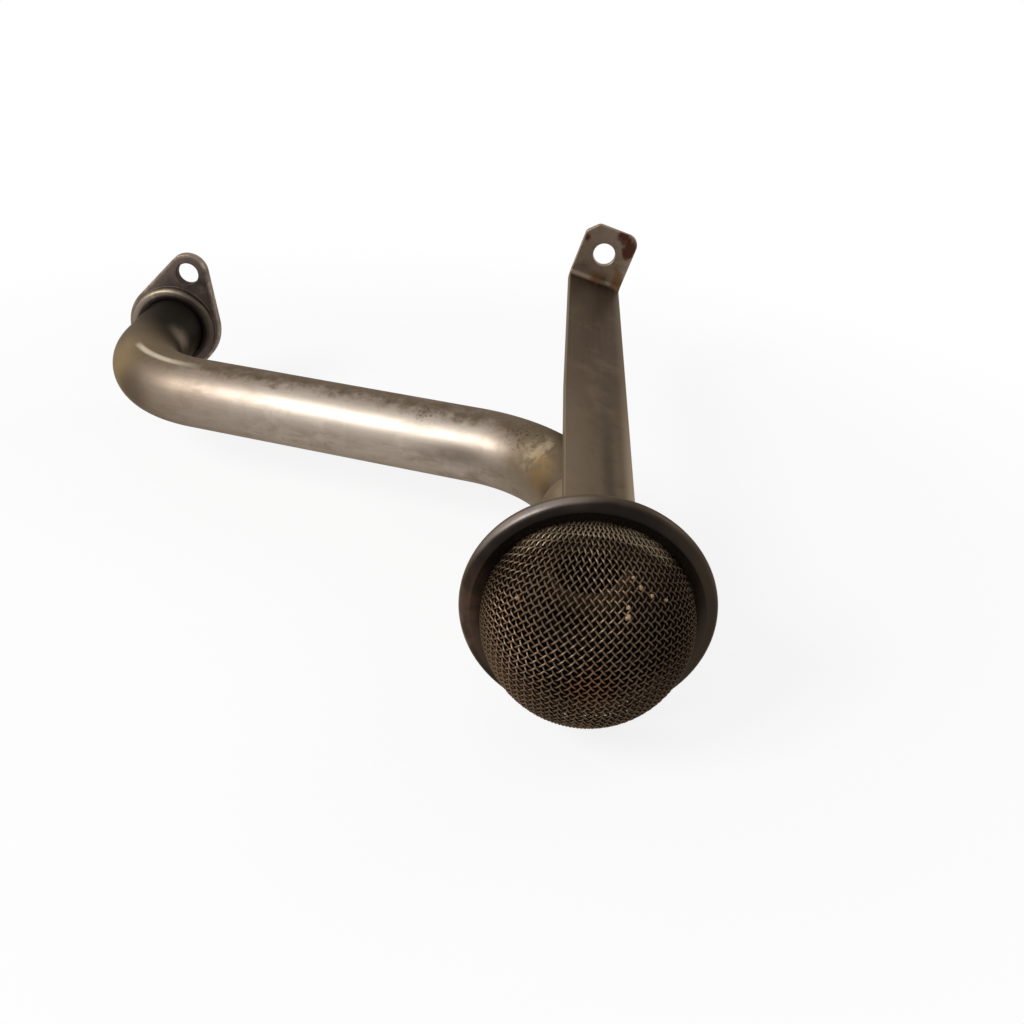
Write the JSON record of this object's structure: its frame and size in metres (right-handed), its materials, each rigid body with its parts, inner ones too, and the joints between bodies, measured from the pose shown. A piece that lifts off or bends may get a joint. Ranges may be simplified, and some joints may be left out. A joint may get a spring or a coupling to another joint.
{
  "type": "oil pickup tube",
  "caption": "Bent steel oil pickup tube with a bolt-on flange at the outlet, a strainer cup with a domed woven screen at the inlet, and a flat support strut.",
  "frame": {"origin": "centre of the outlet flange's mating face, on the tube's axis", "axes": "+Y out of the mating face along the outlet, +X towards the strainer in the plane of the tube, +Z towards the strut's side"},
  "size_m": [0.1778, 0.2086, 0.0606],
  "materials": {
    "tube_steel": "satin bare steel with brown oil stains and tan heat tint at the bends",
    "flange_steel": "dark stained bare steel",
    "cup_steel": "dark stained pressed steel",
    "rim_steel": "dark oil-stained satin steel with light rust",
    "screen_wire": "dark varnished steel wire cloth",
    "strut_steel": "satin bare steel with rust on the tab"
  },
  "bodies": {
    "root": {"suction_tube": "tube_steel", "mounting_flange": "flange_steel", "strainer_cup": "cup_steel", "rim_ring": "rim_steel", "inlet_screen": "screen_wire", "support_strut": "strut_steel"}
  },
  "joints": []
}
